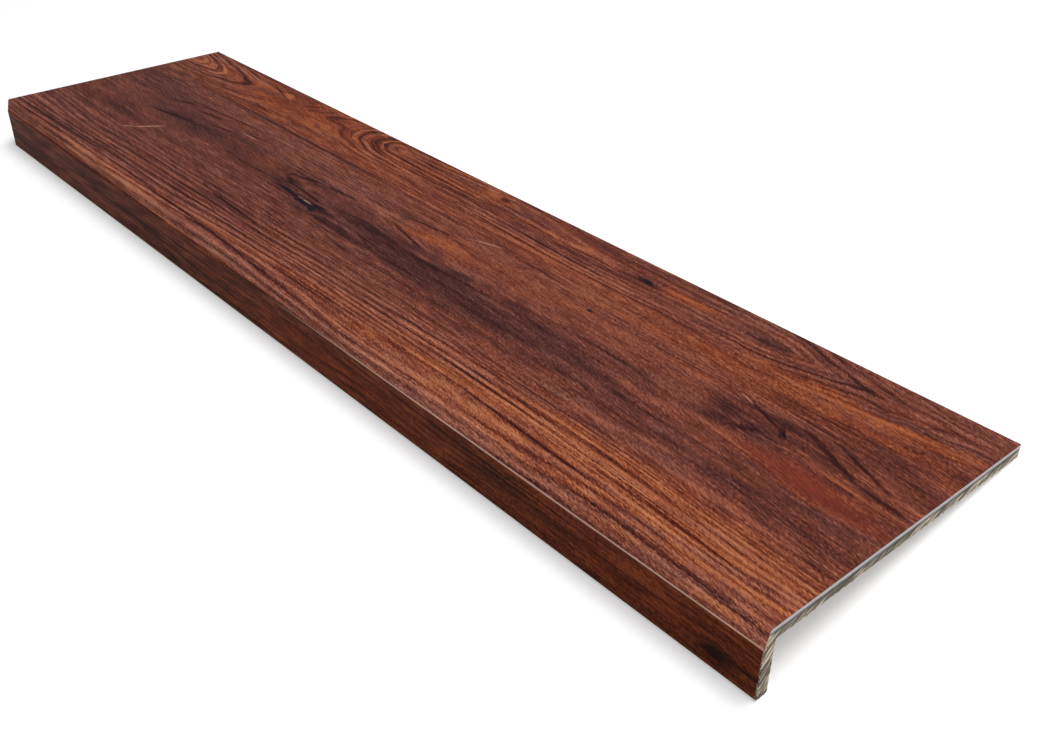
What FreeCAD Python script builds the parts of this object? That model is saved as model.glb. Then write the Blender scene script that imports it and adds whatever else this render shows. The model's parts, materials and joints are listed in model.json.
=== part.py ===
import FreeCAD, Part
import math
import os

from FreeCAD import Vector

# A stair tread that caps a worn step: a flat panel whose front edge turns down into a nose.
# It is laminated from three pieces that run its whole length.
#   core         one wood-composite board, L-shaped in section
#   vinyl_plank  the grey plank that covers the core's top, up to the front
#   decor_skin   the printed wood-grain skin, over the plank and down the nose's face
#
# The section is drawn in the tread's own YZ plane: Y runs back from the nose's face,
# Z runs up from the nose's foot, and the length is drawn along X.
# The finished tread is then leaned back until it rests as it lies on a floor, on the
# back corner of the nose's foot and on the lower corner of its back edge.
# All lengths are in millimetres.

tread_length = 1220.0      # one plank long, cut square at both ends
tread_depth = 300.0        # face of the nose to the back edge
nose_height = 60.0         # walking surface to the foot of the nose
nose_wall = 11.0           # face of the nose to its inner face, skin included
brow_drop = 15.0           # walking surface down to the brow, the long edge across the nose
brow_back = 4.0            # how far the face leans back above the brow

panel_core = 8.0           # the core under the plank
plank_thickness = 3.4      # grey vinyl plank
skin_thickness = 0.6       # printed skin

crease_radius = 1.6        # outside of the skin where it turns over the head and the brow
corner_fillet = 3.0        # inside corner between the panel and the nose

# Levels that the pieces share, measured in the section.
plank_bottom = nose_height - skin_thickness - plank_thickness
panel_bottom = plank_bottom - panel_core          # underside, which lies on the step


def bend(before, corner, after, radius):
    """Start, middle and end of the arc that rounds one corner of an outline."""
    back = (before - corner).normalize()
    ahead = (after - corner).normalize()
    half_angle = back.getAngle(ahead) / 2
    reach = radius / math.tan(half_angle)
    inward = (back + ahead).normalize()
    middle = corner + inward * (radius / math.sin(half_angle) - radius)
    return corner + back * reach, middle, corner + ahead * reach


def outline(corners):
    """Face within corners given as (y, z, radius), with an arc wherever the radius isn't zero."""
    points = [Vector(0, y, z) for y, z, _ in corners]
    before = points[-1:] + points[:-1]
    after = points[1:] + points[:1]
    radii = [radius for _, _, radius in corners]
    bends = [bend(*corner) for corner in zip(before, points, after, radii)]
    edges = []
    for here, following, radius in zip(bends, bends[1:] + bends[:1], radii):
        if radius:
            edges.append(Part.Arc(*here).toShape())
        edges.append(Part.LineSegment(here[2], following[0]).toShape())
    return Part.Face(Part.Wire(edges))


def extrude(face):
    """Solid of one section face, centred on the tread's middle."""
    solid = face.extrude(Vector(tread_length, 0, 0))
    solid.translate(Vector(-tread_length / 2, 0, 0))
    return solid


def tread_section(depth):
    """The whole L, with its printed faces set in by a depth.

    A bend that is set in moves along its faces by the depth times tan(turn / 2).
    """
    brow_turn = math.atan2(brow_back, brow_drop)
    head_turn = math.pi / 2 - brow_turn
    brow_level = nose_height - brow_drop - depth * math.tan(brow_turn / 2)
    head_reach = brow_back + depth * math.tan(head_turn / 2)
    crease = crease_radius - depth
    return outline([
        (depth, 0, 0),
        (depth, brow_level, crease),
        (head_reach, nose_height - depth, crease),
        (tread_depth, nose_height - depth, 0),
        (tread_depth, panel_bottom, 0),
        (nose_wall, panel_bottom, corner_fillet),
        (nose_wall, 0, 0),
    ])


def lay_down(solid):
    """Leans the tread back about its length until both lower corners meet the floor.

    The origin is then the middle of the floor area that the tread covers.
    """
    lean = math.atan2(panel_bottom, tread_depth - nose_wall)
    foot_drop = nose_wall * math.sin(lean)
    back_reach = tread_depth * math.cos(lean) + nose_height * math.sin(lean)
    solid.rotate(Vector(0, 0, 0), Vector(1, 0, 0), -math.degrees(lean))
    solid.translate(Vector(0, -back_reach / 2, foot_drop))
    return solid


tread = extrude(tread_section(0))
laminate = extrude(tread_section(skin_thickness))
plank_corner = Vector(-tread_length / 2, 0, plank_bottom)
plank_layer = Part.makeBox(tread_length, tread_depth, plank_thickness, plank_corner)

pieces = {
    "core": laminate.cut(plank_layer),
    "vinyl_plank": laminate.common(plank_layer),
    "decor_skin": tread.cut(laminate),
}

os.makedirs("parts", exist_ok=True)
for node, piece in pieces.items():
    solid, = piece.Solids
    lay_down(solid).exportStep(f"parts/{node}.step")
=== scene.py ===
"""Dresses the stair tread: its printed wood skin, the cut ends of its plank and core, and the studio.

The sections and outlines are worked out in the tread's own section, in metres: along the length
from the left end, across from the nose's face to the back edge, and up from the nose's foot.
place() then leans them back onto the floor as the solids lie.
"""

import json
import math
from collections import namedtuple

import bpy
import numpy as np
from mathutils import Matrix, Vector


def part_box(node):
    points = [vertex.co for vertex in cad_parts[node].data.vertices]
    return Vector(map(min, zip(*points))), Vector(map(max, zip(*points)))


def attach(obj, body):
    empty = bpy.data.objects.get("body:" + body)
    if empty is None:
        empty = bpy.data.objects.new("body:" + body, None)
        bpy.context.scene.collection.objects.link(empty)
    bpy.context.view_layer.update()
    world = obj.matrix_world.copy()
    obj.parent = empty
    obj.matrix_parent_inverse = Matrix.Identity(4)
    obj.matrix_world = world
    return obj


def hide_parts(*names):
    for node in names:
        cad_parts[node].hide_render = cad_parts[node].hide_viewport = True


bl_info = {
    "name": "Stair Tread",
    "version": (1, 0, 0),
    "blender": (4, 5, 0),
    "location": "3D View > Sidebar > Stair Tread",
    "description": "Finishes a laminated stair tread and sets it on a studio floor",
    "category": "Object",
}

MM = 0.001
SHARP_EDGE = math.radians(35)
# The saw's streaks slant by these degrees across the nose and, above the bend, across the panel.
NOSE_STREAK = 47
PANEL_STREAK = 24
STREAK_BEND = 46 * MM

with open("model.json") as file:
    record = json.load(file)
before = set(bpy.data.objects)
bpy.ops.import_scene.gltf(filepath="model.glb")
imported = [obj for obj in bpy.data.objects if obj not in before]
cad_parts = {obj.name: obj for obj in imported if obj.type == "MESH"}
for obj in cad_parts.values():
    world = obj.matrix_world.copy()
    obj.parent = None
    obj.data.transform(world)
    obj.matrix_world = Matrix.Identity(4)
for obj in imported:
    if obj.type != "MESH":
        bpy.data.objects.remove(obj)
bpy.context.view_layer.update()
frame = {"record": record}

# The tread leans back by the slope of its underside, and rests on the back corner of its foot.
under_axis = next(m["axis"] for m in frame["record"]["mounts"] if m["name"] == "underside")
LEAN = math.atan2(-under_axis[1], -under_axis[2])
SKIN_LOW, SKIN_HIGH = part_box("decor_skin")
LENGTH = SKIN_HIGH.x - SKIN_LOW.x


def linear(code):
    """A colour as a screen shows it, #RRGGBB, turned to the linear values that shaders use."""
    channels = [int(code[i:i + 2], 16) / 255 for i in (1, 3, 5)]
    return tuple(c / 12.92 if c <= 0.04045 else ((c + 0.055) / 1.055) ** 2.4 for c in channels) + (1.0,)


def length_property(name, description, default):
    """A length in metres for the sidebar."""
    return bpy.props.FloatProperty(
        name=name, description=description, default=default, unit="LENGTH", precision=4)


def colour_property(name, description, code):
    """A colour for the sidebar, from its hex code."""
    return bpy.props.FloatVectorProperty(
        name=name, description=description, default=linear(code), subtype="COLOR", size=4, min=0, max=1)


class SectionSettings(bpy.types.PropertyGroup):
    """Sizes of the tread's section"""
    nose_height: length_property("Nose height", "Walking surface to the foot of the nose", 60 * MM)
    nose_wall: length_property("Nose wall", "Face of the nose to its inner face", 11 * MM)
    brow_drop: length_property("Brow drop", "Walking surface down to the brow", 15 * MM)
    brow_back: length_property("Brow back", "How far the face leans back above the brow", 4 * MM)
    skin: length_property("Skin thickness", "Thickness of the printed skin", 0.6 * MM)
    plank: length_property("Plank thickness", "Thickness of the grey vinyl plank", 3.4 * MM)
    crease: length_property("Crease radius", "Outside radius where the skin turns", 1.6 * MM)
    under: length_property("Underside level", "Underside of the panel, above the foot of the nose", 48 * MM)
    fillet: length_property("Fillet", "Inside radius between the panel and the nose", 3 * MM)


class GrainSettings(bpy.types.PropertyGroup):
    """Relief, mesh and colours of the printed skin"""
    emboss: length_property("Emboss depth", "Depth of the pressed grain", 0.12 * MM)
    row: length_property("Row spacing", "Mesh spacing across the grain", 1.0 * MM)
    column: length_property("Column spacing", "Mesh spacing along the grain", 5.0 * MM)
    cool_dark: colour_property("Cool dark", "Darkest purple-brown print", "#381D1B")
    cool_middle: colour_property("Cool middle", "Middle purple-brown print", "#5D3530")
    cool_light: colour_property("Cool light", "Lightest purple-brown print", "#8A574D")
    warm_dark: colour_property("Warm dark", "Darkest orange-brown print", "#451E14")
    warm_middle: colour_property("Warm middle", "Middle orange-brown print", "#773823")
    warm_light: colour_property("Warm light", "Lightest orange-brown print", "#A4623F")


class CoreSettings(bpy.types.PropertyGroup):
    """Colours of the sawn ends"""
    vinyl: colour_property("Vinyl", "Cut edge of the grey plank", "#9D9D9C")
    board: colour_property("Board", "Beige-grey of the core", "#7B6F5D")
    board_dark: colour_property("Dark streaks", "Dark saw streaks of the core", "#463C32")
    board_pale: colour_property("Pale streaks", "Pale saw streaks of the core", "#C6B8A0")


class StudioSettings(bpy.types.PropertyGroup):
    """Floor and lights"""
    floor: colour_property("Floor", "Pale floor", "#D6D6D6")
    floor_glow: bpy.props.FloatProperty(
        name="Floor glow", description="Light that the pale floor gives off itself", default=0.36)
    softbox_power: bpy.props.FloatProperty(
        name="Softbox power", description="Power of the overhead softbox in watts", default=280)
    softbox_length: length_property("Softbox length", "Length of the softbox along the tread", 3.4)
    softbox_width: length_property("Softbox width", "Width of the softbox across the tread", 1.7)
    fill: bpy.props.FloatProperty(
        name="Fill", description="Brightness of the surrounding light", default=0.20)


def node(tree, kind, inputs=None, stops=(), output=0, **settings):
    """Adds one shader node and gives its first output, or the one asked for.

    Settings are the node's own properties, and stops a colour ramp's positions and colours. Inputs give
    each socket, by name or number, its value or the output that is linked to it. A Map Range takes 1 to 2
    onto 3 to 4, and a colour Mix goes from 6 to 7.
    """
    made = tree.nodes.new("ShaderNode" + kind)
    for name, value in settings.items():
        setattr(made, name, value)
    for number, (position, colour) in enumerate(stops):
        elements = made.color_ramp.elements
        element = elements[number] if number < len(elements) else elements.new(position)
        element.position, element.color = position, colour
    for socket, value in (inputs or {}).items():
        if isinstance(value, bpy.types.NodeSocket):
            tree.links.new(value, made.inputs[socket])
        else:
            made.inputs[socket].default_value = value
    return made.outputs[output] if made.outputs else made


def new_material(name):
    """An empty material, and the tree to build it in."""
    material = bpy.data.materials.new(name)
    material.use_nodes = True
    material.node_tree.nodes.clear()
    return material, material.node_tree


def grey(level):
    """A grey of the given linear level."""
    return (level, level, level, 1.0)


def grid_faces(rows, columns, start=0):
    """Quads of a grid whose vertices are numbered row by row, facing the way row x column turns."""
    index = start + np.arange(rows * columns).reshape(rows, columns)
    corners = [index[:-1, :-1], index[:-1, 1:], index[1:, 1:], index[1:, :-1]]
    return np.stack(corners, axis=-1).reshape(-1, 4)


def make_object(name, points, faces, material):
    """Mesh object from an array of points and a list of faces, smooth but for its sharp edges."""
    mesh = bpy.data.meshes.new(name)
    mesh.from_pydata(points.tolist(), [], faces)
    mesh.polygons.foreach_set("use_smooth", np.ones(len(mesh.polygons), bool))
    mesh.set_sharp_from_angle(angle=SHARP_EDGE)
    mesh.materials.append(material)
    made = bpy.data.objects.new(name, mesh)
    bpy.context.scene.collection.objects.link(made)
    return made


def store(mesh, name, values, kind="FLOAT"):
    """Keeps one value or vector per vertex for the material to read."""
    attribute = mesh.attributes.new(name, kind, "POINT")
    field = "vector" if kind == "FLOAT_VECTOR" else "value"
    attribute.data.foreach_set(field, values.astype(np.float32).ravel())


def place(along, across, up):
    """Section coordinates to the row frame: turned back by the lean, with the foot's corner on the floor."""
    section = bpy.context.scene.tread_section
    turn_sin, turn_cos = math.sin(LEAN), math.cos(LEAN)
    foot_drop = section.nose_wall * turn_sin
    x = along + SKIN_LOW.x
    y = across * turn_cos + up * turn_sin + SKIN_LOW.y
    z = up * turn_cos - across * turn_sin + foot_drop
    return np.stack(np.broadcast_arrays(x, y, z), axis=-1)


def section_depth(section):
    """Nose's face to the back edge, which with the nose's height gives the depth of the leaning box."""
    return (SKIN_HIGH.y - SKIN_LOW.y - section.nose_height * math.sin(LEAN)) / math.cos(LEAN)


# Wood figure, in millimetres: along from the left end, across from the nose's face on the walking
# surface, and below zero down the brow and the nose's face. Every feature is placed one by one. Knots,
# lenses and slopes bend the growth rings. Smoke darkens, or lightens where it is negative, warmth turns
# the print to orange, and calm takes the fine lines away.
Knot = namedtuple("Knot", "along across radius stretch")
Lens = namedtuple("Lens", "along across length width pull")
Patch = namedtuple("Patch", "along across length width amount")
Slope = namedtuple("Slope", "along across length width rise")
Mark = namedtuple("Mark", "along across length width turn")  # half sizes, and a turn in degrees

KNOTS = [
    Knot(1090, 168, 5, 2.0),
    Knot(500, 124, 5, 6.0),
    Knot(1183, -40, 7, 1.6),
]
LENSES = [
    Lens(670, 172, 70, 20, 1.0),
    Lens(790, 172, 80, 14, 0.6),
    Lens(375, 146, 50, 16, 0.6),
    Lens(492, 149, 62, 12, 1.05),
    Lens(200, 130, 130, 40, 0.5),
    Lens(1165, 138, 60, 14, 0.8),
    Lens(1000, 161, 48, 12, 0.85),
    Lens(150, -30, 120, 16, 0.8),
    Lens(700, -34, 130, 14, 0.7),
]
SLOPES = [
    Slope(1110, 84, 90, 40, -14),
    Slope(1130, 22, 90, 22, -7),
    Slope(1150, 180, 45, 17, -26),
    Slope(220, 168, 90, 32, 24),
    Slope(500, 30, 110, 34, 9),
    Slope(210, 40, 80, 34, 4),
]
SMOKE = [Patch(*row) for row in (
    (120, 175, 80, 12, 0.45),
    (215, 142, 90, 12, 0.55),
    (110, 100, 50, 12, 0.4),
    (330, 162, 40, 5, 0.4),
    (40, 190, 60, 30, 0.3),
    (640, 136, 110, 12, 0.65),
    (690, 118, 130, 9, 0.55),
    (800, 120, 260, 30, 0.4),
    (1120, 98, 110, 20, 0.45),
    (498, 125, 46, 4.5, 1.0),
    (446, 140, 18, 6, 0.45),
    (482, 148, 40, 7, -0.35),
    (490, 156, 40, 4, 0.5),
    (1085, 161, 20, 12, 0.95),
    (1045, 165, 14, 15, 0.75),
    (1112, 178, 50, 12, 0.4),
    (230, 150, 330, 50, 0.14),
    (150, 70, 330, 40, 0.25),
    (700, 125, 300, 34, 0.22),
    (1080, 30, 260, 30, -0.25),
    (800, 40, 200, 34, -0.15),
    (604, 174, 7, 13, 0.5),
    (1150, 138, 70, 14, 0.38),
    (1068, 184, 34, 3.5, 0.8),
    (857, 271, 13, 5, 1.0),
    (998, 271, 30, 7, 0.55),
    (330, 215, 240, 2.2, 0.5),
    (760, 247, 90, 2.2, 0.5),
    (775, 210, 60, 1.6, 0.5),
    (150, 20, 150, 3.0, 0.4),
    (450, 55, 80, 2.2, 0.5),
    (140, 57, 130, 3.0, 0.35),
    (1150, 210, 80, 32, 0.45),
    (640, 282, 300, 24, 0.36),
    (1000, 282, 200, 24, 0.15),
    (50, 272, 70, 24, -0.4),
    (200, 4, 300, 6, -0.35),
    (430, 268, 240, 28, 0.27),
    (1150, 165, 130, 80, 0.2),
    (1120, 262, 160, 22, 0.2),
    (90, -42, 90, 12, 0.35),
    (430, -46, 60, 6, 0.5),
    (960, -30, 60, 10, 0.45),
    (1183, -40, 13, 7, 0.9),
)]
CALM = [Patch(*row) for row in (
    (180, 140, 190, 55, 0.95),
    (235, 258, 105, 24, 0.8),
    (670, 170, 85, 15, 0.6),
    (820, 178, 90, 16, 0.35),
    (1165, 138, 60, 13, 0.6),
    (380, 144, 50, 13, 0.6),
    (1000, 161, 42, 9, 0.5),
    (740, 284, 100, 13, 0.8),
    (955, 272, 75, 9, 0.75),
    (1130, 272, 25, 8, 0.5),
)]
# Dark lines of the pointed and rounded ring figure: distance from the pith line and darkness.
RING_LINES = [
    (8, 0.3), (16, 0.9), (22, 1.0), (27, 0.4), (32.5, 1.0), (39.5, 0.6), (44.5, 0.85), (51, 0.45)]
WARMTH = [Patch(*row) for row in (
    (235, 262, 90, 26, 0.85),
    (60, 262, 70, 26, 0.45),
    (420, 225, 300, 12, 0.35),
    (430, 270, 240, 30, 0.6),
    (375, 146, 60, 9, 0.3),
    (905, 274, 26, 6, 0.8),
    (620, 286, 18, 6, 0.9),
    (665, 172, 60, 15, 0.7),
    (790, 175, 90, 16, 0.4),
    (1150, 138, 75, 13, 0.4),
    (1130, 247, 100, 9, 0.6),
    (1080, 222, 130, 7, 0.4),
    (1000, 35, 330, 30, 0.5),
    (1000, 228, 420, 34, 0.3),
    (600, 280, 420, 22, 0.4),
    (220, -4, 300, 12, 0.4),
    (1140, 140, 160, 120, 0.35),
    (700, -34, 140, 14, 0.35),
)]
DARK_MARKS = [Mark(*row) for row in (
    (1094, 174, 12, 4.0, -50),
    (492, 124, 46, 2.4, -1),
    (1070, 183, 33, 2.0, -19),
    (1138, 177, 50, 3.6, -23),
    (1196, 160, 34, 3.4, -9),
    (1160, 184, 52, 2.2, -21),
    (1070, 158, 16, 4.0, 20),
    (856, 270, 16, 4.5, -6),
    (455, 60, 66, 1.7, -2),
    (396, 65, 9, 1.6, -8),
    (760, 247, 90, 1.5, -3),
    (775, 209, 62, 1.2, -3),
    (326, 217, 230, 1.5, 0),
    (236, 186, 100, 1.8, 5),
    (215, 172, 30, 2.6, 8),
    (262, 160, 34, 1.6, 12),
    (318, 177, 30, 1.4, 5),
    (150, 168, 26, 2.4, 20),
    (182, 137, 50, 3.6, 10),
    (512, 165, 36, 2.4, 4),
    (458, 158, 28, 2.8, 15),
    (432, 151, 8, 2.6, 70),
    (446, 141, 18, 3.2, -18),
    (488, 136, 34, 2.6, -6),
    (640, 188, 44, 2.0, 6),
    (640, 157, 46, 2.6, -12),
    (300, 286, 16, 2.0, 55),
    (318, 285, 17, 1.8, 55),
    (272, 284, 18, 2.0, 38),
    (200, 280, 40, 2.0, -16),
    (636, 286, 9, 5.0, -10),
    (230, 233, 34, 1.3, -8),
    (140, 20, 150, 1.8, 1),
    (420, 15, 150, 1.6, -1),
    (300, 28, 120, 1.4, -1),
    (700, 27, 130, 1.6, 1),
    (1000, 24, 160, 1.6, -2),
    (1120, 34, 90, 1.6, -4),
    (900, 44, 120, 1.4, -1),
    (1183, -40, 20, 2.2, 20),
    (1183, -41, 10, 5.0, 12),
    (985, -26, 55, 1.8, 1),
    (430, -47, 26, 3.0, -6),
)]
BLACK_MARKS = [
    Mark(506, 121, 24, 3.8, -1),
    Mark(493, 122, 8, 4.4, 30),
    Mark(522, 118, 8, 4.5, -20),
    Mark(470, 125.5, 26, 2.8, -5),
    Mark(524, 127, 16, 2.6, 8),
    Mark(1095, 174, 4, 1.8, -50),
    Mark(863, 192, 4.5, 2.4, -20),
    Mark(860, 271, 7, 3.0, -10),
]
ORANGE_MARKS = [
    Mark(1122, 244, 100, 3.0, 6),
    Mark(1050, 238, 34, 1.8, -2),
    Mark(1018, 243, 14, 3.0, 20),
    Mark(905, 274, 26, 3.6, 3),
    Mark(618, 285, 17, 5.0, 0),
    Mark(1083, 136, 33, 1.4, -6),
    Mark(1168, 155, 50, 2.2, -6),
    Mark(500, 20, 80, 2.0, 2),
    Mark(860, 33, 120, 2.2, 0),
    Mark(1060, 47, 110, 2.0, -2),
]
RED_MARKS = [
    Mark(1150, 137, 80, 17, -6),
]
PALE_MARKS = [
    Mark(199, 97, 23, 2.2, 54),
    Mark(181, 78, 9, 1.4, 50),
    Mark(702, 207, 24, 1.1, 17),
    Mark(305, 172, 22, 0.9, 2),
    Mark(500, 125, 18, 1.5, -3),
    Mark(1046, 191, 10, 0.9, -19),
]


def waves(along, across, seed, lengths, widths, count=7):
    """Sum of a few slanting sine waves with seeded lengths, widths and phases, about 1 high."""
    draw = np.random.default_rng(seed)
    total = np.zeros(np.broadcast(along, across).shape)
    for _ in range(count):
        length = draw.uniform(*lengths)
        width = draw.uniform(*widths) * draw.choice([-1, 1])
        total += np.sin(2 * np.pi * (along / length + across / width) + draw.uniform(0, 2 * np.pi))
    return total / math.sqrt(count)


def ramp_up(distance, softness=14.0):
    """Zero before the start and straight after it, with a soft start."""
    return softness * np.logaddexp(0, distance / softness)


def growth_rings(along, across):
    """Distance of each point from the pith line, whose contours are the ring lines, in mm.

    It is a rounded sum of the distance across from the pith line and the depth of the cut below it.
    The depth grows away from the middle of each figure, which closes its loops: round ones at
    the left, pointed ones at the right. It fades across the grain, where the rings run straight.
    Lenses widen the rings about them, and knots push the rings aside like a stream round a post.
    """
    pith_line, loops_end, change, point = 284, 446, 720, 1016
    to_right = 0.5 + 0.5 * np.tanh((along - change) / 60)
    bend = 24 * np.exp(-((along - 90) / 150) ** 2) + 11 * to_right
    bend = bend + waves(along, 0 * across, 11, (120, 420), (900, 950))
    offset = pith_line - across
    offset = offset - bend * np.exp(-(offset / 75) ** 2)
    left_loops = 8 + 0.18 * np.maximum(along, 0)
    middle_loops = 1 + 52 * (1 - np.exp(-ramp_up(loops_end - along, 7) / 80)) ** 0.8
    left_depth = (left_loops ** -5.0 + middle_loops ** -5.0 + 50.0 ** -5) ** (-1 / 5)
    right_depth = 30 * (1 - np.exp(-ramp_up(along - point, 8) / 78))
    depth = left_depth * (1 - to_right) + (12 + right_depth) * to_right
    depth = depth * np.exp(-(offset / 52) ** 4) * (1 + 0.03 * waves(along, across, 5, (40, 120), (30, 90)))
    power = 1.30 + 0.75 * np.clip((900 - along) / 300, 0, 1)
    rings = (np.abs(offset) ** power + depth ** power) ** (1 / power)
    for lens in LENSES:
        aside = across - lens.across
        fade = np.exp(-((along - lens.along) / lens.length) ** 2 - (aside / lens.width) ** 2)
        rings = rings + lens.pull * aside * fade
    for knot in KNOTS:
        aside = across - knot.across
        spread = ((along - knot.along) / knot.stretch) ** 2 + aside ** 2 + (knot.radius / 2) ** 2
        rings = rings + aside * knot.radius ** 2 / spread
    for slope in SLOPES:
        fade = np.exp(-((across - slope.across) / slope.width) ** 2)
        rings = rings + slope.rise * fade * 0.5 * (1 + np.tanh((along - slope.along) / slope.length))
    rings = rings + 0.8 * waves(along, across, 3, (160, 480), (60, 200))
    return rings + 0.13 * waves(along, across, 4, (18, 60), (8, 24))


def patches(along, across, items, seed):
    """Sum of soft elliptical patches whose outlines are pulled about by waves, from -1 to 1."""
    pull_along = 0.35 * waves(along, across, seed, (40, 200), (12, 50))
    pull_across = 0.35 * waves(along, across, seed + 1, (30, 140), (10, 40))
    total = 0
    for patch in items:
        aside_along = (along - patch.along) / patch.length + pull_along
        aside_across = (across - patch.across) / patch.width + pull_across
        total = total + patch.amount * np.exp(-aside_along ** 2 - aside_across ** 2)
    return np.clip(total, -1, 1)


def skin_profile(section, grain):
    """Outline of the skin's outside, walked from the foot over the brow to the back edge.

    The heading is 90 degrees up the face, turns over each crease in proportion to the distance, and
    ends level on the walking surface. The points are the running sum of the chords. Gives
    the distance walked, across, up, heading, and the distances of the brow and the head.
    """
    depth = section_depth(section)
    brow_turn = math.atan2(section.brow_back, section.brow_drop)
    head_turn = math.pi / 2 - brow_turn
    brow_reach = section.crease * math.tan(brow_turn / 2)
    head_reach = section.crease * math.tan(head_turn / 2)
    stretches = [
        (section.nose_height - section.brow_drop - brow_reach, 0, grain.row),
        (section.crease * brow_turn, brow_turn, section.crease * brow_turn / 3),
        (math.hypot(section.brow_drop, section.brow_back) - brow_reach - head_reach, 0, grain.row / 2),
        (section.crease * head_turn, head_turn, section.crease * head_turn / 7),
        (depth - section.brow_back - head_reach, 0, grain.row),
    ]
    steps, turns, ends = [], [], []
    for reach, turn, spacing in stretches:
        count = max(1, round(reach / spacing))
        steps.append(np.full(count, reach / count))
        turns.append(np.full(count, turn / count))
        ends.append(reach)
    steps, turns = np.concatenate(steps), np.concatenate(turns)
    heading = np.pi / 2 - np.concatenate([[0], np.cumsum(turns)])
    middle = (heading[:-1] + heading[1:]) / 2
    chords = steps * np.sinc(turns / 2 / np.pi)
    walked = np.concatenate([[0], np.cumsum(steps)])
    across = np.concatenate([[0], np.cumsum(chords * np.cos(middle))])
    up = np.concatenate([[0], np.cumsum(chords * np.sin(middle))])
    brow = ends[0] + ends[1] / 2
    head = sum(ends[:3]) + ends[3] / 2
    return walked, across, up, heading, brow, head


def end_bites(walked, brow, seed, deepest, count=34):
    """How far the skin is chipped back at a sawn end, in short steep dips along the nose's edge.

    A dip is (1 - t * t) ** 0.3 across its own width, and the dips are deepest at the foot.
    """
    draw = np.random.default_rng(seed)
    bites = np.zeros_like(walked)
    for _ in range(count):
        centre = draw.uniform(0, 1) ** 1.3 * brow
        size = draw.uniform(0.7, 2.6) * MM
        depth = deepest * draw.uniform(0.1, 1.0) * (1 - 0.6 * centre / brow)
        bites = np.maximum(bites, depth * np.clip(1 - ((walked - centre) / size) ** 2, 0, 1) ** 0.3)
    return bites


def pressed_relief(along, rings, walked, share, deepest):
    """How deep the skin is pressed: waves that follow the growth rings, level at all the skin's edges."""
    pressed = 0.5 - 0.5 * np.sin(rings * 1.15 + 1.3 * waves(along / MM, rings, 31, (180, 500), (9, 40)))
    pressed = pressed * (0.6 + 0.4 * waves(along / MM, rings, 32, (40, 160), (4, 14)))
    border = np.clip(np.minimum(walked, walked[-1] - walked)[:, None] / (1.5 * MM), 0, 1)
    ends = np.clip(np.minimum(share, 1 - share) * share.size / 2, 0, 1)
    return deepest * np.clip(pressed, 0, 1) * border * ends


def shell_faces(rows, columns):
    """Faces of a closed shell: a grid outside, one long quad a row inside, and strips along the edges.

    The grid's vertices come first, then the inside's left edge and its right edge.
    """
    outer = np.arange(rows * columns).reshape(rows, columns)
    left = rows * columns + np.arange(rows)
    right = left + rows
    strips = [
        (left[:-1], left[1:], right[1:], right[:-1]),
        (outer[:-1, 0], outer[1:, 0], left[1:], left[:-1]),
        (outer[1:, -1], outer[:-1, -1], right[:-1], right[1:]),
    ]
    faces = grid_faces(rows, columns).tolist()
    for strip in strips:
        faces += np.stack(strip, axis=-1).tolist()
    faces.append([*outer[0, ::-1].tolist(), int(left[0]), int(right[0])])
    faces.append([*outer[-1].tolist(), int(right[-1]), int(left[-1])])
    return faces


def surface_masks(along, flat, share):
    """Where the walking surface's print changes, by the names that the material reads.

    Bold stripes run along the front and ring lines belong to the figure at the back. Both give way
    where the print is calm.
    """
    front = np.clip((84 - flat) / 26, 0, 1)
    back = np.clip((flat - 224) / 12, 0, 1)
    calm = patches(along, flat, CALM, 61) + 0.28 * np.clip((share - 0.45) / 0.25, 0, 1) * (1 - front)
    calm = np.clip(calm, 0, 1)
    to_nose = np.clip(1 + flat / 12, 0.3, 1)
    to_left = np.clip(0.55 + share / 1.4, 0, 1) - 0.35 * np.clip((share - 0.5) / 0.3, 0, 1)
    bold = np.clip(0.12 + 0.88 * front * to_left + 0.45 * back, 0, 1) * to_nose * (1 - calm)
    return {
        "calm": calm,
        "bold": bold,
        "figure": back * (1 - 0.7 * calm),
        "smoke": patches(along, flat, SMOKE, 41),
        "warmth": patches(along, flat, WARMTH, 51),
    }


def nose_masks(along, walked, share, brow, head):
    """Where the nose's print changes, by the names that the material reads.

    Its darker print reaches the brow, and 4 mm over it at the left; the darkening is partly print and
    partly painted shade of the nose's face. The band above is lighter to the right, a painted sheen,
    and a painted highlight follows the brow from the middle to the right end.
    """
    walked = walked[:, None]
    border = brow + 4 * MM * np.clip((0.75 - share) / 0.5, 0, 1)
    brow_band = (walked > border) & (walked < head)
    run = np.clip((along / LENGTH - 0.12) / 0.5, 0, 1)
    # A painted highlight along the crease of the brow.
    highlight_line = np.exp(-((walked - brow - 0.2 * MM) / (0.5 * MM)) ** 2)
    return {
        "nose": np.clip((border + 0.4 * MM - walked) / (0.8 * MM), 0, 1),
        "brow_highlight": highlight_line * np.clip((share - 0.50) / 0.15, 0, 1),
        "brow_band": brow_band * (0.35 + 0.65 * run),
    }


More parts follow.
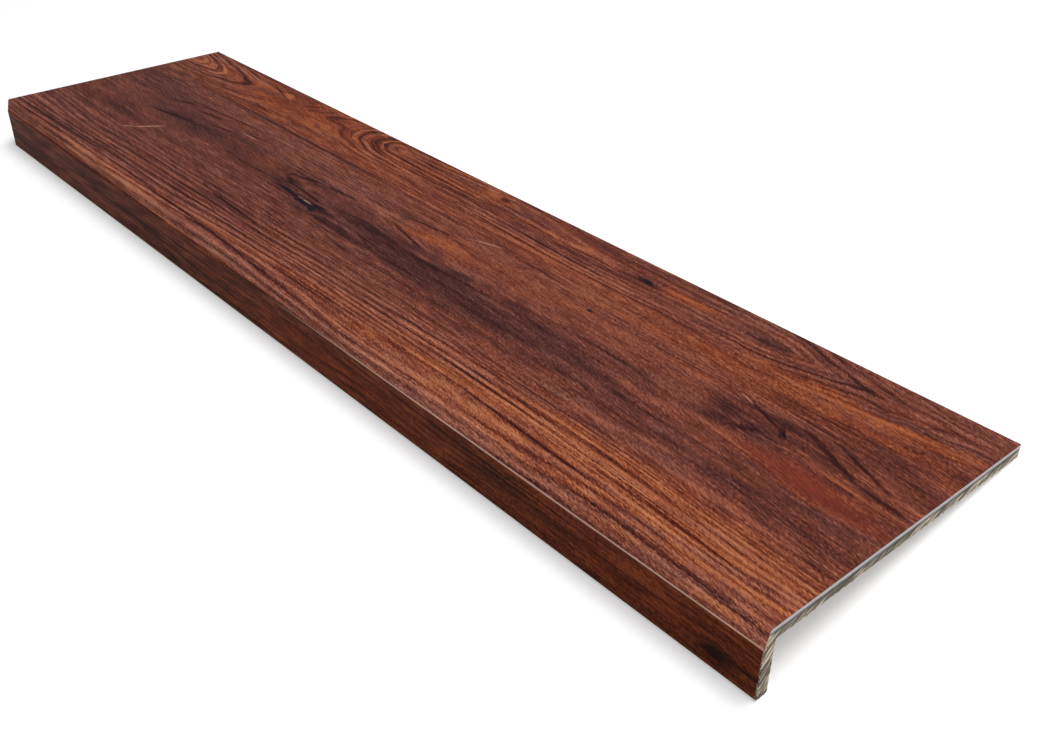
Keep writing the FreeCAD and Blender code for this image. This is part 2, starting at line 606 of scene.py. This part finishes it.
def make_skin(section, grain):
    """The skin as one closed shell: the profile of its outside carried along the tread.

    Each point of the outside is pressed in along its normal by the relief, and the inside is the
    profile moved in by the skin's thickness.
    """
    walked, across, up, heading, brow, head = skin_profile(section, grain)
    rows, columns = len(walked), round(LENGTH / grain.column) + 1
    share = np.linspace(0, 1, columns)[None, :]
    right_bite = end_bites(walked, brow, seed=21, deepest=2.2 * MM)[:, None]
    left_bite = end_bites(walked, brow, seed=22, deepest=1.0 * MM)[:, None]
    near_right = np.clip((share - 1) * columns / 3 + 1, 0, 1)
    near_left = np.clip(1 - share * columns / 3, 0, 1)
    along = share * LENGTH - right_bite * near_right + left_bite * near_left

    flat = walked[:, None] - walked[-1] + across[-1]
    rings = growth_rings(along / MM, flat / MM)
    relief = pressed_relief(along, rings, walked, share, grain.emboss)
    normal_across, normal_up = -np.sin(heading)[:, None], np.cos(heading)[:, None]
    outside = place(along, across[:, None] - normal_across * relief, up[:, None] - normal_up * relief)
    inner_across = across - normal_across[:, 0] * section.skin
    inner_up = up - normal_up[:, 0] * section.skin
    left_inside = place(along[:, 0], inner_across, inner_up)
    right_inside = place(along[:, -1], inner_across, inner_up)
    points = np.concatenate([outside.reshape(-1, 3), left_inside, right_inside])
    skin = make_object("decor_skin_printed", points, shell_faces(rows, columns), printed_wood(grain))

    def to_vertices(values):
        values = np.broadcast_to(values, along.shape)
        return np.concatenate([values.ravel(), values[:, 0], values[:, -1]])

    grain_place = np.stack([to_vertices(v) for v in (along, rings * MM, flat)], axis=-1)
    store(skin.data, "grain", grain_place, "FLOAT_VECTOR")
    masks = surface_masks(along / MM, flat / MM, share) | nose_masks(along, walked, share, brow, head)
    for name, mask in masks.items():
        store(skin.data, name, to_vertices(mask))
    store(skin.data, "cut", np.concatenate([np.zeros(rows * columns), np.ones(2 * rows)]))
    return skin


def section_bends(section):
    """Level where the outlines under the skin turn at the brow, and their place across above it."""
    brow_turn = math.atan2(section.brow_back, section.brow_drop)
    brow_level = section.nose_height - section.brow_drop

    def face_at(level):
        return (level - brow_level) * math.tan(brow_turn) + section.skin / math.cos(brow_turn)
    return brow_level - section.skin * math.tan(brow_turn / 2), face_at


def rail(*corners):
    """Straight runs through (across, up, number of steps to the next) corners."""
    runs = []
    for (across, up, steps), (next_across, next_up, _) in zip(corners, corners[1:]):
        share = np.arange(steps)[:, None] / steps
        runs.append((1 - share) * (across, up) + share * (next_across, next_up))
    return np.concatenate(runs + [[corners[-1][:2]]])


def core_rails(section):
    """The core's section between two rails with equally many points.

    The outer one goes up the nose's face, turns at the brow and follows the plank. The inner one goes up
    the nose's inner face, round the fillet as a quarter circle and along the underside.
    """
    depth = section_depth(section)
    top = section.nose_height - section.skin - section.plank
    under, fillet, wall = section.under, section.fillet, section.nose_wall
    brow_level, face_at = section_bends(section)
    face_steps, brow_steps, arc_steps, under_steps = 80, 24, 32, 500
    panel_steps = arc_steps + under_steps - brow_steps
    outer = rail(
        (section.skin, 0, face_steps), (section.skin, brow_level, brow_steps),
        (face_at(top), top, panel_steps), (depth, top, 0))
    arc = np.linspace(0, np.pi / 2, arc_steps + 1)[:, None]
    centre = np.array([wall + fillet, under - fillet])
    bend = centre + fillet * np.concatenate([-np.cos(arc), np.sin(arc)], axis=1)
    rise = rail((wall, 0, face_steps), (wall, under - fillet, 0))
    run = rail((wall + fillet, under, under_steps), (depth, under, 0))
    return outer, np.concatenate([rise, bend[1:], run[1:]])


def plank_rails(section):
    """The plank's section between two rails: its top and its bottom, from the brow's slope to the back."""
    depth = section_depth(section)
    top = section.nose_height - section.skin
    bottom = top - section.plank
    _, face_at = section_bends(section)
    head = face_at(top) + 0.35 * section.crease
    steps = 260
    upper = rail((head, top, steps), (depth, top, 0))
    return upper, rail((face_at(bottom), bottom, steps), (depth, bottom, 0))


def make_sawn_bar(name, outer, inner, columns, relief, teeth, seed, material):
    """A bar between two rails of its section, with both sawn ends as grids and one strip round its sides.

    A point of an end is outer * (1 - v) + inner * v. It lies back from the cut by a relief of slanting
    waves, and its inner edge is drawn in by small teeth. The sides are square behind 2 mm.
    """
    v = np.linspace(0, 1, columns)[None, :, None]
    section = outer[:, None] * (1 - v) + inner[:, None] * v
    walked = np.concatenate([[0], np.cumsum(np.hypot(*np.diff(inner, axis=0).T))])
    tooth = teeth * np.clip(waves(walked / MM, 0 * walked, seed, (2.5, 9.0), (900, 950), 6), 0, 1)
    towards = (outer - inner) / np.hypot(*(outer - inner).T)[:, None]
    rough = section + (tooth[:, None] * towards)[:, None] * v ** 6
    angle = np.radians(np.where(section[..., 1] < STREAK_BEND, NOSE_STREAK, PANEL_STREAK))
    down_streak = (section[..., 0] * np.cos(angle) + section[..., 1] * np.sin(angle)) / MM
    over_streak = (section[..., 1] * np.cos(angle) - section[..., 0] * np.sin(angle)) / MM
    streak = waves(down_streak, over_streak, seed + 1, (14, 60), (1.6, 4.5), 9)
    depth = relief * np.clip(0.5 + 0.5 * streak, 0, 1)

    order = np.arange(len(outer) * columns).reshape(len(outer), columns)
    loop = np.concatenate([order[:, 0], order[-1, 1:], order[-2::-1, -1], order[0, -2:0:-1]])
    flat_section, flat_rough = section.reshape(-1, 2), rough.reshape(-1, 2)
    count, ring = order.size, len(loop)
    behind = 2 * MM
    points = np.concatenate([
        place(LENGTH - depth.ravel(), flat_rough[:, 0], flat_rough[:, 1]),
        place(LENGTH - behind, flat_section[loop, 0], flat_section[loop, 1]),
        place(behind, flat_section[loop, 0], flat_section[loop, 1]),
        place(depth.ravel(), flat_rough[:, 0], flat_rough[:, 1])])
    left_start = count + 2 * ring
    chains = [loop, count + np.arange(ring), count + ring + np.arange(ring), left_start + loop]
    faces = grid_faces(len(outer), columns).tolist()
    faces += grid_faces(len(outer), columns, left_start)[:, ::-1].tolist()
    for near, far in zip(chains, chains[1:]):
        faces += np.stack([near, np.roll(near, -1), np.roll(far, -1), far], axis=-1).tolist()
    return make_object(name, points, faces, material)


def streaks(tree, place_on, length, width, seed, detail=2.0, tilt=0.0, output=0):
    """Noise drawn out along the grain: one figure is about length by width metres, turned by tilt."""
    scaled = node(tree, "Mapping", {
        "Vector": place_on, "Scale": (length, width, 1), "Location": (0, 0, seed), "Rotation": (0, 0, tilt),
    }, vector_type="TEXTURE")
    return node(tree, "TexNoise", {
        "Vector": scaled, "Scale": 1.0, "Detail": detail, "Roughness": 0.5}, output=output)


def add_layers(tree, total, layers):
    """A total plus layers, each (value - middle) * weight and then multiplied by its masks."""
    for weight, middle, value, *masks in layers:
        part = node(tree, "Math", {0: value, 1: weight, 2: -weight * middle}, operation="MULTIPLY_ADD")
        for mask in masks:
            part = node(tree, "Math", {0: part, 1: mask}, operation="MULTIPLY")
        total = node(tree, "Math", {0: total, 1: part}, operation="ADD")
    return total


def mark_mask(tree, surface_place, marks, edge):
    """Soft ellipses at the marks' places, 1 inside and 0 outside, with the given share of soft edge."""
    mask = 0.0
    for mark in marks:
        local = node(tree, "Mapping", {
            "Vector": surface_place, "Location": (mark.along * MM, mark.across * MM, 0),
            "Scale": (mark.length * MM, mark.width * MM, 1), "Rotation": (0, 0, math.radians(mark.turn)),
        }, vector_type="TEXTURE")
        spot = node(tree, "TexGradient", {0: local}, gradient_type="SPHERICAL", output="Fac")
        mask = node(tree, "Math", {0: mask, 1: spot}, operation="MAXIMUM")
    return node(tree, "MapRange", {0: mask, 1: 0.0, 2: edge, 3: 0.0, 4: 1.0})


def printed_wood(grain_settings):
    """Printed wood decor under a satin wear layer, embossed in register with its print.

    The eye gets long growth-ring lines, short pores, a low even gloss that breaks up in the grain, and
    painted glints in the print.
    """
    material, tree = new_material("printed_decor_embossed_satin")
    grain = node(tree, "Attribute", attribute_name="grain", output="Vector")
    bold, figure, calm, smoke, warmth, nose, brow_highlight, brow_band = [
        node(tree, "Attribute", attribute_name=name, output="Fac")
        for name in ("bold", "figure", "calm", "smoke", "warmth", "nose", "brow_highlight", "brow_band")]

    # Fibres run straight along the tread, rings bend round the figure. A small ragged pull breaks up their
    # edges, more so towards the right.
    along, ring, flat = [node(tree, "SeparateXYZ", {0: grain}, output=axis) for axis in range(3)]
    fibres = node(tree, "CombineXYZ", {0: along, 1: flat})
    flat_rings = node(tree, "CombineXYZ", {0: along, 1: ring})
    rightward = node(tree, "MapRange", {0: along, 1: 0.35, 2: 0.95, 3: 0.50, 4: 1.0})
    ragged = streaks(tree, fibres, 7 * MM, 1.4 * MM, 5.5, 1.0, -0.45, output="Color")
    pull = node(tree, "VectorMath", {0: ragged, 1: (0.5, 0.5, 0.5)}, operation="SUBTRACT")
    pull = node(tree, "VectorMath", {0: pull, 3: rightward}, operation="SCALE")
    rings, pulled = [
        node(tree, "VectorMath", {0: pull, 1: (7 * MM, 3.4 * MM, 0), 2: straight}, operation="MULTIPLY_ADD")
        for straight in (flat_rings, fibres)]
    busy = node(tree, "Math", {0: 1.0, 1: calm}, operation="SUBTRACT")

    # The figure's ring lines: each is three ramp stops, about 3 mm wide.
    ring_distance = node(tree, "SeparateXYZ", {0: rings}, output=1)
    ramp_reach = 60
    ring_share = node(tree, "MapRange", {0: ring_distance, 1: 0.0, 2: ramp_reach * MM})
    stops = [((distance + side) / ramp_reach, grey(dark * (side == 0)))
             for distance, dark in RING_LINES for side in (-1.7, 0, 1.7)]
    ring_lines = node(tree, "ValToRGB", {0: ring_share}, stops=stops)
    # Stripes of the straight grain, 7.5 mm apart, that wander by about their own spacing.
    wander = streaks(tree, flat_rings, 420 * MM, 26 * MM, 91.3, 1.0)
    turns_per_metre = 2 * math.pi / (7.5 * MM)
    turns = node(tree, "Math", {0: ring_distance, 1: turns_per_metre}, operation="MULTIPLY")
    turns = node(tree, "Math", {0: wander, 1: 22.0, 2: turns}, operation="MULTIPLY_ADD")
    sine = node(tree, "Math", {0: turns}, operation="SINE")
    stripe_lines = node(tree, "MapRange", {0: sine, 1: 0.50, 2: 0.90, 3: 0.0, 4: 1.0})
    pale_lines = node(tree, "MapRange", {0: sine, 1: -0.5, 2: -0.95, 3: 0.0, 4: 1.0})
    patchy = streaks(tree, flat_rings, 150 * MM, 7 * MM, 17.3, 1.0)
    patchy = node(tree, "MapRange", {0: patchy, 1: 0.3, 2: 0.5, 3: 0.4, 4: 1.0})

    # The real pores are about 0.3 mm wide and are drawn 1 mm wide to show.
    lines = streaks(tree, rings, 240 * MM, 2.3 * MM, 31.7, 1.0)
    lines = node(tree, "MapRange", {0: lines, 1: 0.30, 2: 0.42, 3: 1.0, 4: 0.0})
    pores = streaks(tree, fibres, 6 * MM, 0.9 * MM, 44.1, 1.0, -0.4)
    pores = node(tree, "MapRange", {0: pores, 1: 0.28, 2: 0.40, 3: 1.0, 4: 0.0})
    # Painted glints: short pale flecks in the print, stronger to the right, stand in for the sparkle of the
    # embossed satin.
    painted_glints = streaks(tree, fibres, 9 * MM, 0.9 * MM, 71.3, 1.0, -0.35)
    painted_glints = node(tree, "MapRange", {0: painted_glints, 1: 0.60, 2: 0.74, 3: 0.0, 4: 1.0})
    clouds = streaks(tree, rings, 70 * MM, 5 * MM, 51.9)
    clouds = node(tree, "MapRange", {0: clouds, 1: 0.35, 2: 0.6, 3: 0.6, 4: 1.15})
    smoke = node(tree, "Math", {0: smoke, 1: clouds}, operation="MULTIPLY")
    threads = streaks(tree, rings, 130 * MM, 2.4 * MM, 7.1)
    tone = add_layers(tree, 0.535, [
        (0.65, 0.5, streaks(tree, flat_rings, 260 * MM, 16 * MM, 1.3)),
        (0.72, 0.5, threads, busy),
        (0.8, 0.5, streaks(tree, rings, 60 * MM, 1.2 * MM, 57.1, 1.0), busy),
        (0.8, 0.5, streaks(tree, rings, 700 * MM, 4.0 * MM, 3.9), bold),
        (1.4, 0.5, streaks(tree, fibres, 4.0 * MM, 0.9 * MM, 23.9, 1.0, -0.4), rightward),
        (0.9, 0.5, streaks(tree, fibres, 20 * MM, 1.3 * MM, 12.7, 1.0, -0.2)),
        (0.6, 0.5, streaks(tree, rings, 26 * MM, 5 * MM, 83.7, 1.0), busy),
        (0.9, 0.5, streaks(tree, fibres, 3 * MM, 1.3 * MM, 33.3, 2.0, 0.5), brow_band),
        (1.1, 0.5, streaks(tree, pulled, 55 * MM, 7 * MM, 97.7, 2.0, 0.1), nose),
        (-0.40, 0, lines, busy),
        (-0.52, 0.2, stripe_lines, bold, patchy),
        (0.38, 0.15, pale_lines, bold),
        (-0.52, 0.2, ring_lines, figure),
        (-0.55, 0, pores, rightward),
        (0.36, 0, painted_glints, rightward),
        (-0.48, 0, smoke),
        (0.05, 0, warmth),
        (-0.60, 0, mark_mask(tree, pulled, DARK_MARKS, 0.6)),
    ])

    shade = node(tree, "MapRange", {0: tone, 1: -0.30, 2: 1.50})
    cool = node(tree, "ValToRGB", {0: shade}, stops=[
        (0.0, linear("#2B1616")), (0.167, grain_settings.cool_dark), (0.444, grain_settings.cool_middle),
        (0.722, grain_settings.cool_light), (1.0, linear("#A26B5B"))])
    warm = node(tree, "ValToRGB", {0: shade}, stops=[
        (0.0, linear("#351311")), (0.167, grain_settings.warm_dark), (0.444, grain_settings.warm_middle),
        (0.722, grain_settings.warm_light), (1.0, linear("#BA7A4E"))])
    drift = streaks(tree, flat_rings, 250 * MM, 14 * MM, 61.3)
    dim = node(tree, "Math", {0: smoke, 1: 0.0}, operation="MAXIMUM")
    mix = add_layers(tree, warmth, [(0.8, 0.08, drift), (-0.8, 0, dim)])
    mix = node(tree, "Clamp", {0: mix})
    wood = node(tree, "Mix", {0: mix, 6: cool, 7: warm}, data_type="RGBA", output=2)
    nose_right = node(tree, "Math", {0: nose, 1: rightward}, operation="MULTIPLY")
    tints = [
        # Painted shade: the nose's tint darkens it, partly as its own darker print and partly for the shade
        # on its face. Towards the right end the nose turns lighter and greyer.
        (nose, linear("#CC9467")),
        (nose_right, (1.1, 1.38, 1.3, 1.0)),
        # Painted sheen: the brow band is lightened and greyed for the light that its slope catches, more so
        # to the right.
        (brow_band, (1.85, 2.0, 2.05, 1.0)),
    ]
    for where, tint in tints:
        wood = node(tree, "Mix", {
            0: where, 6: wood, 7: tint}, data_type="RGBA", blend_type="MULTIPLY", output=2)
    paints = [
        (mark_mask(tree, pulled, RED_MARKS, 1.0), 0.72, "#712F22"),
        (mark_mask(tree, pulled, ORANGE_MARKS, 0.8), 0.50, "#A9603C"),
        # Painted highlight along the crease of the brow.
        (brow_highlight, 0.85, "#EBC2AE"),
        (mark_mask(tree, fibres, PALE_MARKS, 0.6), 0.62, "#BC8A7A"),
        (mark_mask(tree, pulled, BLACK_MARKS, 0.5), 0.94, "#15131A"),
    ]
    for where, weight, paint in paints:
        where = node(tree, "Math", {0: where, 1: weight}, operation="MULTIPLY")
        wood = node(tree, "Mix", {0: where, 6: wood, 7: linear(paint)}, data_type="RGBA", output=2)

    # Only the outside is printed: the sawn edge of the skin is the plain grey film.
    cut = node(tree, "Attribute", attribute_name="cut", output="Fac")
    cut = node(tree, "MapRange", {0: cut, 1: 0.1, 2: 0.35})
    wood = node(tree, "Mix", {0: cut, 6: wood, 7: linear("#A9A6A4")}, data_type="RGBA", output=2)
    height = add_layers(tree, 0.5, [(1.5, 0.5, threads), (-0.5, 0, stripe_lines, bold), (-1.0, 0, pores)])
    bump = node(tree, "Bump", {"Height": height, "Strength": 0.35, "Distance": 0.15 * MM})
    rough = node(tree, "MapRange", {0: tone, 1: 0.0, 2: 1.0, 3: 0.52, 4: 0.40})
    shader = node(tree, "BsdfPrincipled", {
        "Base Color": wood, "Roughness": rough, "IOR": 1.5, "Specular IOR Level": 0.02, "Normal": bump})
    node(tree, "OutputMaterial", {"Surface": shader})
    return material


def section_place(tree):
    """Object coordinates turned back: along from the middle, and the section's own across and up."""
    section = bpy.context.scene.tread_section
    foot_drop = section.nose_wall * math.sin(LEAN)
    place_on = node(tree, "TexCoord", output="Object")
    from_foot = node(tree, "VectorMath", {0: place_on, 1: (0, SKIN_LOW.y, foot_drop)}, operation="SUBTRACT")
    return node(tree, "Mapping", {"Vector": from_foot, "Rotation": (LEAN, 0, 0)})


def cut_vinyl(core_settings):
    """Filled vinyl plank, sawn: the eye gets a smooth light grey edge, palest along its upper rim."""
    section = bpy.context.scene.tread_section
    material, tree = new_material("filled_vinyl_sawn_edge")
    spot = section_place(tree)
    level = node(tree, "SeparateXYZ", {0: spot}, output=2)
    top = section.nose_height - section.skin
    height = node(tree, "MapRange", {0: level, 1: top - section.plank, 2: top})
    body = node(tree, "ValToRGB", {0: height}, stops=[
        (0.0, linear("#4A4A4A")), (0.22, linear("#7D7F82")),
        (0.6, core_settings.vinyl), (0.92, linear("#AFAFAF"))])
    # Chalky scrapes of the blade, 9 mm long. The real ones are finer than the 0.7 mm drawn here.
    drawn = node(tree, "Mapping", {"Vector": spot, "Scale": (1 / (9 * MM), 1 / (9 * MM), 1 / (0.7 * MM))})
    scrape = node(tree, "TexNoise", {"Vector": drawn, "Scale": 1.0, "Detail": 2.0})
    chalk = node(tree, "MapRange", {0: scrape, 1: 0.40, 2: 0.68, 3: 0.0, 4: 0.45})
    colour = node(tree, "Mix", {0: chalk, 6: body, 7: linear("#C9CBCC")}, data_type="RGBA", output=2)
    shader = node(tree, "BsdfPrincipled", {"Base Color": colour, "Roughness": 0.55, "IOR": 1.52})
    node(tree, "OutputMaterial", {"Surface": shader})
    return material


def sawn_board(core_settings):
    """Sawn wood-composite board: the eye gets beige grey with slanting pale and dark blade streaks."""
    section = bpy.context.scene.tread_section
    material, tree = new_material("wood_composite_sawn")
    spot = section_place(tree)
    from_middle = node(tree, "SeparateXYZ", {0: spot})
    level = node(tree, "SeparateXYZ", {0: spot}, output=2)
    # The blade's real marks are about 0.5 mm apart and are drawn 1.7 mm wide to show.
    marks = []
    for turn, reach in ((NOSE_STREAK, 14 * MM), (PANEL_STREAK, 22 * MM)):
        turned = node(tree, "Mapping", {
            "Vector": spot, "Rotation": (math.radians(turn), 0, 0), "Scale": (30 * MM, reach, 1.7 * MM),
        }, vector_type="TEXTURE")
        noise = {"Vector": turned, "Scale": 1.0, "Detail": 2.0, "Roughness": 0.5}
        marks.append(node(tree, "TexNoise", noise))
    panel = node(tree, "MapRange", {0: level, 1: STREAK_BEND - 4 * MM, 2: STREAK_BEND + 4 * MM})
    saw = node(tree, "Mix", {0: panel, 2: marks[0], 3: marks[1]})
    streaked = node(tree, "ValToRGB", {0: saw}, stops=[
        (0.41, core_settings.board_dark), (0.51, core_settings.board), (0.62, core_settings.board_pale)])
    # The core turns dark over its top 2.6 mm, just under the plank.
    core_top = section.nose_height - section.skin - section.plank
    dark_top = node(tree, "MapRange", {
        0: level, 1: core_top - 2.6 * MM, 2: core_top - 1.2 * MM, 3: 0.0, 4: 0.85})
    # Only the ends are sawn: the faces between them are pressed, with a soft mottle.
    mottle = node(tree, "TexNoise", {"Vector": spot, "Scale": 1 / (5 * MM), "Detail": 4.0})
    pressed = node(tree, "ValToRGB", {0: mottle}, stops=[
        (0.3, linear("#7B6F5D")), (0.55, core_settings.board), (0.75, linear("#9A8E7A"))])
    off_middle = node(tree, "Math", {0: from_middle}, operation="ABSOLUTE")
    end = node(tree, "MapRange", {0: off_middle, 1: LENGTH / 2 - 1.5 * MM, 2: LENGTH / 2 - 1.0 * MM})
    streaked = node(tree, "Mix", {0: end, 6: pressed, 7: streaked}, data_type="RGBA", output=2)
    colour = node(tree, "Mix", {0: dark_top, 6: streaked, 7: linear("#3B3935")}, data_type="RGBA", output=2)
    bump = node(tree, "Bump", {"Height": saw, "Strength": 0.6, "Distance": 0.5 * MM})
    shader = node(tree, "BsdfPrincipled", {
        "Base Color": colour, "Roughness": 0.8, "IOR": 1.5, "Normal": bump})
    node(tree, "OutputMaterial", {"Surface": shader})
    return material


class TREAD_OT_decor_skin(bpy.types.Operator):
    """Makes the printed and embossed wood skin over the top, the brow and the nose"""
    bl_idname = "tread.decor_skin"
    bl_label = "Printed skin"

    def execute(self, context):
        skin = make_skin(context.scene.tread_section, context.scene.tread_grain)
        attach(skin, "root")
        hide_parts("decor_skin")
        return {"FINISHED"}


class TREAD_OT_vinyl_plank(bpy.types.Operator):
    """Makes the grey vinyl plank with its sawn ends"""
    bl_idname = "tread.vinyl_plank"
    bl_label = "Vinyl plank"

    def execute(self, context):
        outer, inner = plank_rails(context.scene.tread_section)
        plank = make_sawn_bar(
            "vinyl_plank_sawn", outer, inner, columns=5, relief=0.12 * MM, teeth=0.1 * MM, seed=71,
            material=cut_vinyl(context.scene.tread_core))
        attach(plank, "root")
        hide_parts("vinyl_plank")
        return {"FINISHED"}


class TREAD_OT_core(bpy.types.Operator):
    """Makes the core board with its sawn ends, fillet and underside"""
    bl_idname = "tread.core"
    bl_label = "Core board"

    def execute(self, context):
        outer, inner = core_rails(context.scene.tread_section)
        core = make_sawn_bar(
            "core_board_sawn", outer, inner, columns=17, relief=0.35 * MM, teeth=0.7 * MM, seed=81,
            material=sawn_board(context.scene.tread_core))
        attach(core, "root")
        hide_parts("core")
        return {"FINISHED"}


class TREAD_OT_studio(bpy.types.Operator):
    """Makes the floor, the lights and the camera"""
    bl_idname = "tread.studio"
    bl_label = "Studio"

    def execute(self, context):
        make_floor(context.scene.tread_studio)
        make_lights(context.scene.tread_studio)
        make_camera()
        return {"FINISHED"}


def make_floor(studio):
    """Floor that bends up into a low wall all round, in metres.

    Its height is zero out to the start of the bend, and from there the wall's height times 1 - cos of a
    quarter turn over the rest of the reach.
    """
    bend_start, reach, wall, steps = 4.0, 10.0, 2.8, 61
    side = np.linspace(-reach, reach, steps)
    x, y = np.meshgrid(side, side)
    bend = np.clip((np.hypot(x, y) - bend_start) / (reach - bend_start), 0, 1)
    z = wall * (1 - np.cos(bend * np.pi / 2))
    points = np.stack([x, y, z], axis=-1).reshape(-1, 3)
    material, tree = new_material("matt_white_floor")
    shader = node(tree, "BsdfPrincipled", {
        "Base Color": tuple(studio.floor), "Roughness": 0.95, "Specular IOR Level": 0.0,
        "Emission Color": grey(1.0), "Emission Strength": studio.floor_glow})
    node(tree, "OutputMaterial", {"Surface": shader})
    floor = make_object("studio_floor", points, grid_faces(steps, steps).tolist(), material)


SOFTBOX_PLACE = (1.5, 1.45, 4.7)  # in metres, behind the tread and to its right


def make_lights(studio):
    """One wide softbox overhead, aimed at the tread's middle, and even light all round."""
    world = bpy.data.worlds.new("studio_fill")
    world.use_nodes = True
    world.node_tree.nodes["Background"].inputs["Color"].default_value = grey(1.0)
    world.node_tree.nodes["Background"].inputs["Strength"].default_value = studio.fill
    bpy.context.scene.world = world
    light = bpy.data.lights.new("softbox", "AREA")
    light.shape = "RECTANGLE"
    light.size = studio.softbox_length
    light.size_y = studio.softbox_width
    light.energy = studio.softbox_power
    softbox = bpy.data.objects.new("softbox", light)
    softbox.location = SOFTBOX_PLACE
    aim = -softbox.location.normalized()
    softbox.rotation_euler = aim.to_track_quat("-Z", "Y").to_euler()
    bpy.context.scene.collection.objects.link(softbox)
    bpy.context.scene.view_settings.view_transform = "Standard"


# Camera, fitted to the corners of the object in the picture, which is 1049 pixels wide.
CAMERA_PLACE = (0.9040, -0.5104, 0.6579)
CAMERA_AZIMUTH = math.radians(143.87)  # from +X towards +Y
CAMERA_DOWN = math.radians(38.84)
CAMERA_ROLL = math.radians(-8.57)
CAMERA_LENS = 40.73


def make_camera():
    """Camera that looks along its azimuth and down, and is then rolled about its own axis."""
    forward = Vector((
        math.cos(CAMERA_AZIMUTH) * math.cos(CAMERA_DOWN),
        math.sin(CAMERA_AZIMUTH) * math.cos(CAMERA_DOWN),
        -math.sin(CAMERA_DOWN)))
    camera = bpy.data.cameras.new("camera")
    camera.lens = CAMERA_LENS
    camera.sensor_width = 36.0
    camera.clip_start = 0.01
    made = bpy.data.objects.new("camera", camera)
    level = forward.to_track_quat("-Z", "Y").to_matrix()
    turned = level @ Matrix.Rotation(CAMERA_ROLL, 3, "Z")
    made.matrix_world = Matrix.Translation(CAMERA_PLACE) @ turned.to_4x4()
    bpy.context.scene.collection.objects.link(made)
    bpy.context.scene.camera = made


class TREAD_PT_panel(bpy.types.Panel):
    """Lists the tread's pieces and the studio"""
    bl_idname = "TREAD_PT_panel"
    bl_label = "Stair Tread"
    bl_space_type = "VIEW_3D"
    bl_region_type = "UI"
    bl_category = "Stair Tread"

    def draw(self, context):
        for operator in OPERATORS:
            self.layout.operator(operator.bl_idname)
        for name in SETTINGS:
            box = self.layout.box()
            group = getattr(context.scene, name)
            for key in group.bl_rna.properties.keys():
                if key not in ("rna_type", "name"):
                    box.prop(group, key)


OPERATORS = [TREAD_OT_decor_skin, TREAD_OT_vinyl_plank, TREAD_OT_core, TREAD_OT_studio]
SETTINGS = {
    "tread_section": SectionSettings,
    "tread_grain": GrainSettings,
    "tread_core": CoreSettings,
    "tread_studio": StudioSettings,
}


def register():
    """Adds the settings, the operators and the panel to Blender."""
    for kind in [*SETTINGS.values(), *OPERATORS, TREAD_PT_panel]:
        bpy.utils.register_class(kind)
    for name, kind in SETTINGS.items():
        setattr(bpy.types.Scene, name, bpy.props.PointerProperty(type=kind))


def unregister():
    """Takes them out again."""
    for name in SETTINGS:
        delattr(bpy.types.Scene, name)
    for kind in reversed([*SETTINGS.values(), *OPERATORS, TREAD_PT_panel]):
        bpy.utils.unregister_class(kind)


def main():
    register()
    bpy.ops.tread.decor_skin()
    bpy.ops.tread.vinyl_plank()
    bpy.ops.tread.core()
    bpy.ops.tread.studio()


if __name__ == "__main__":
    main()
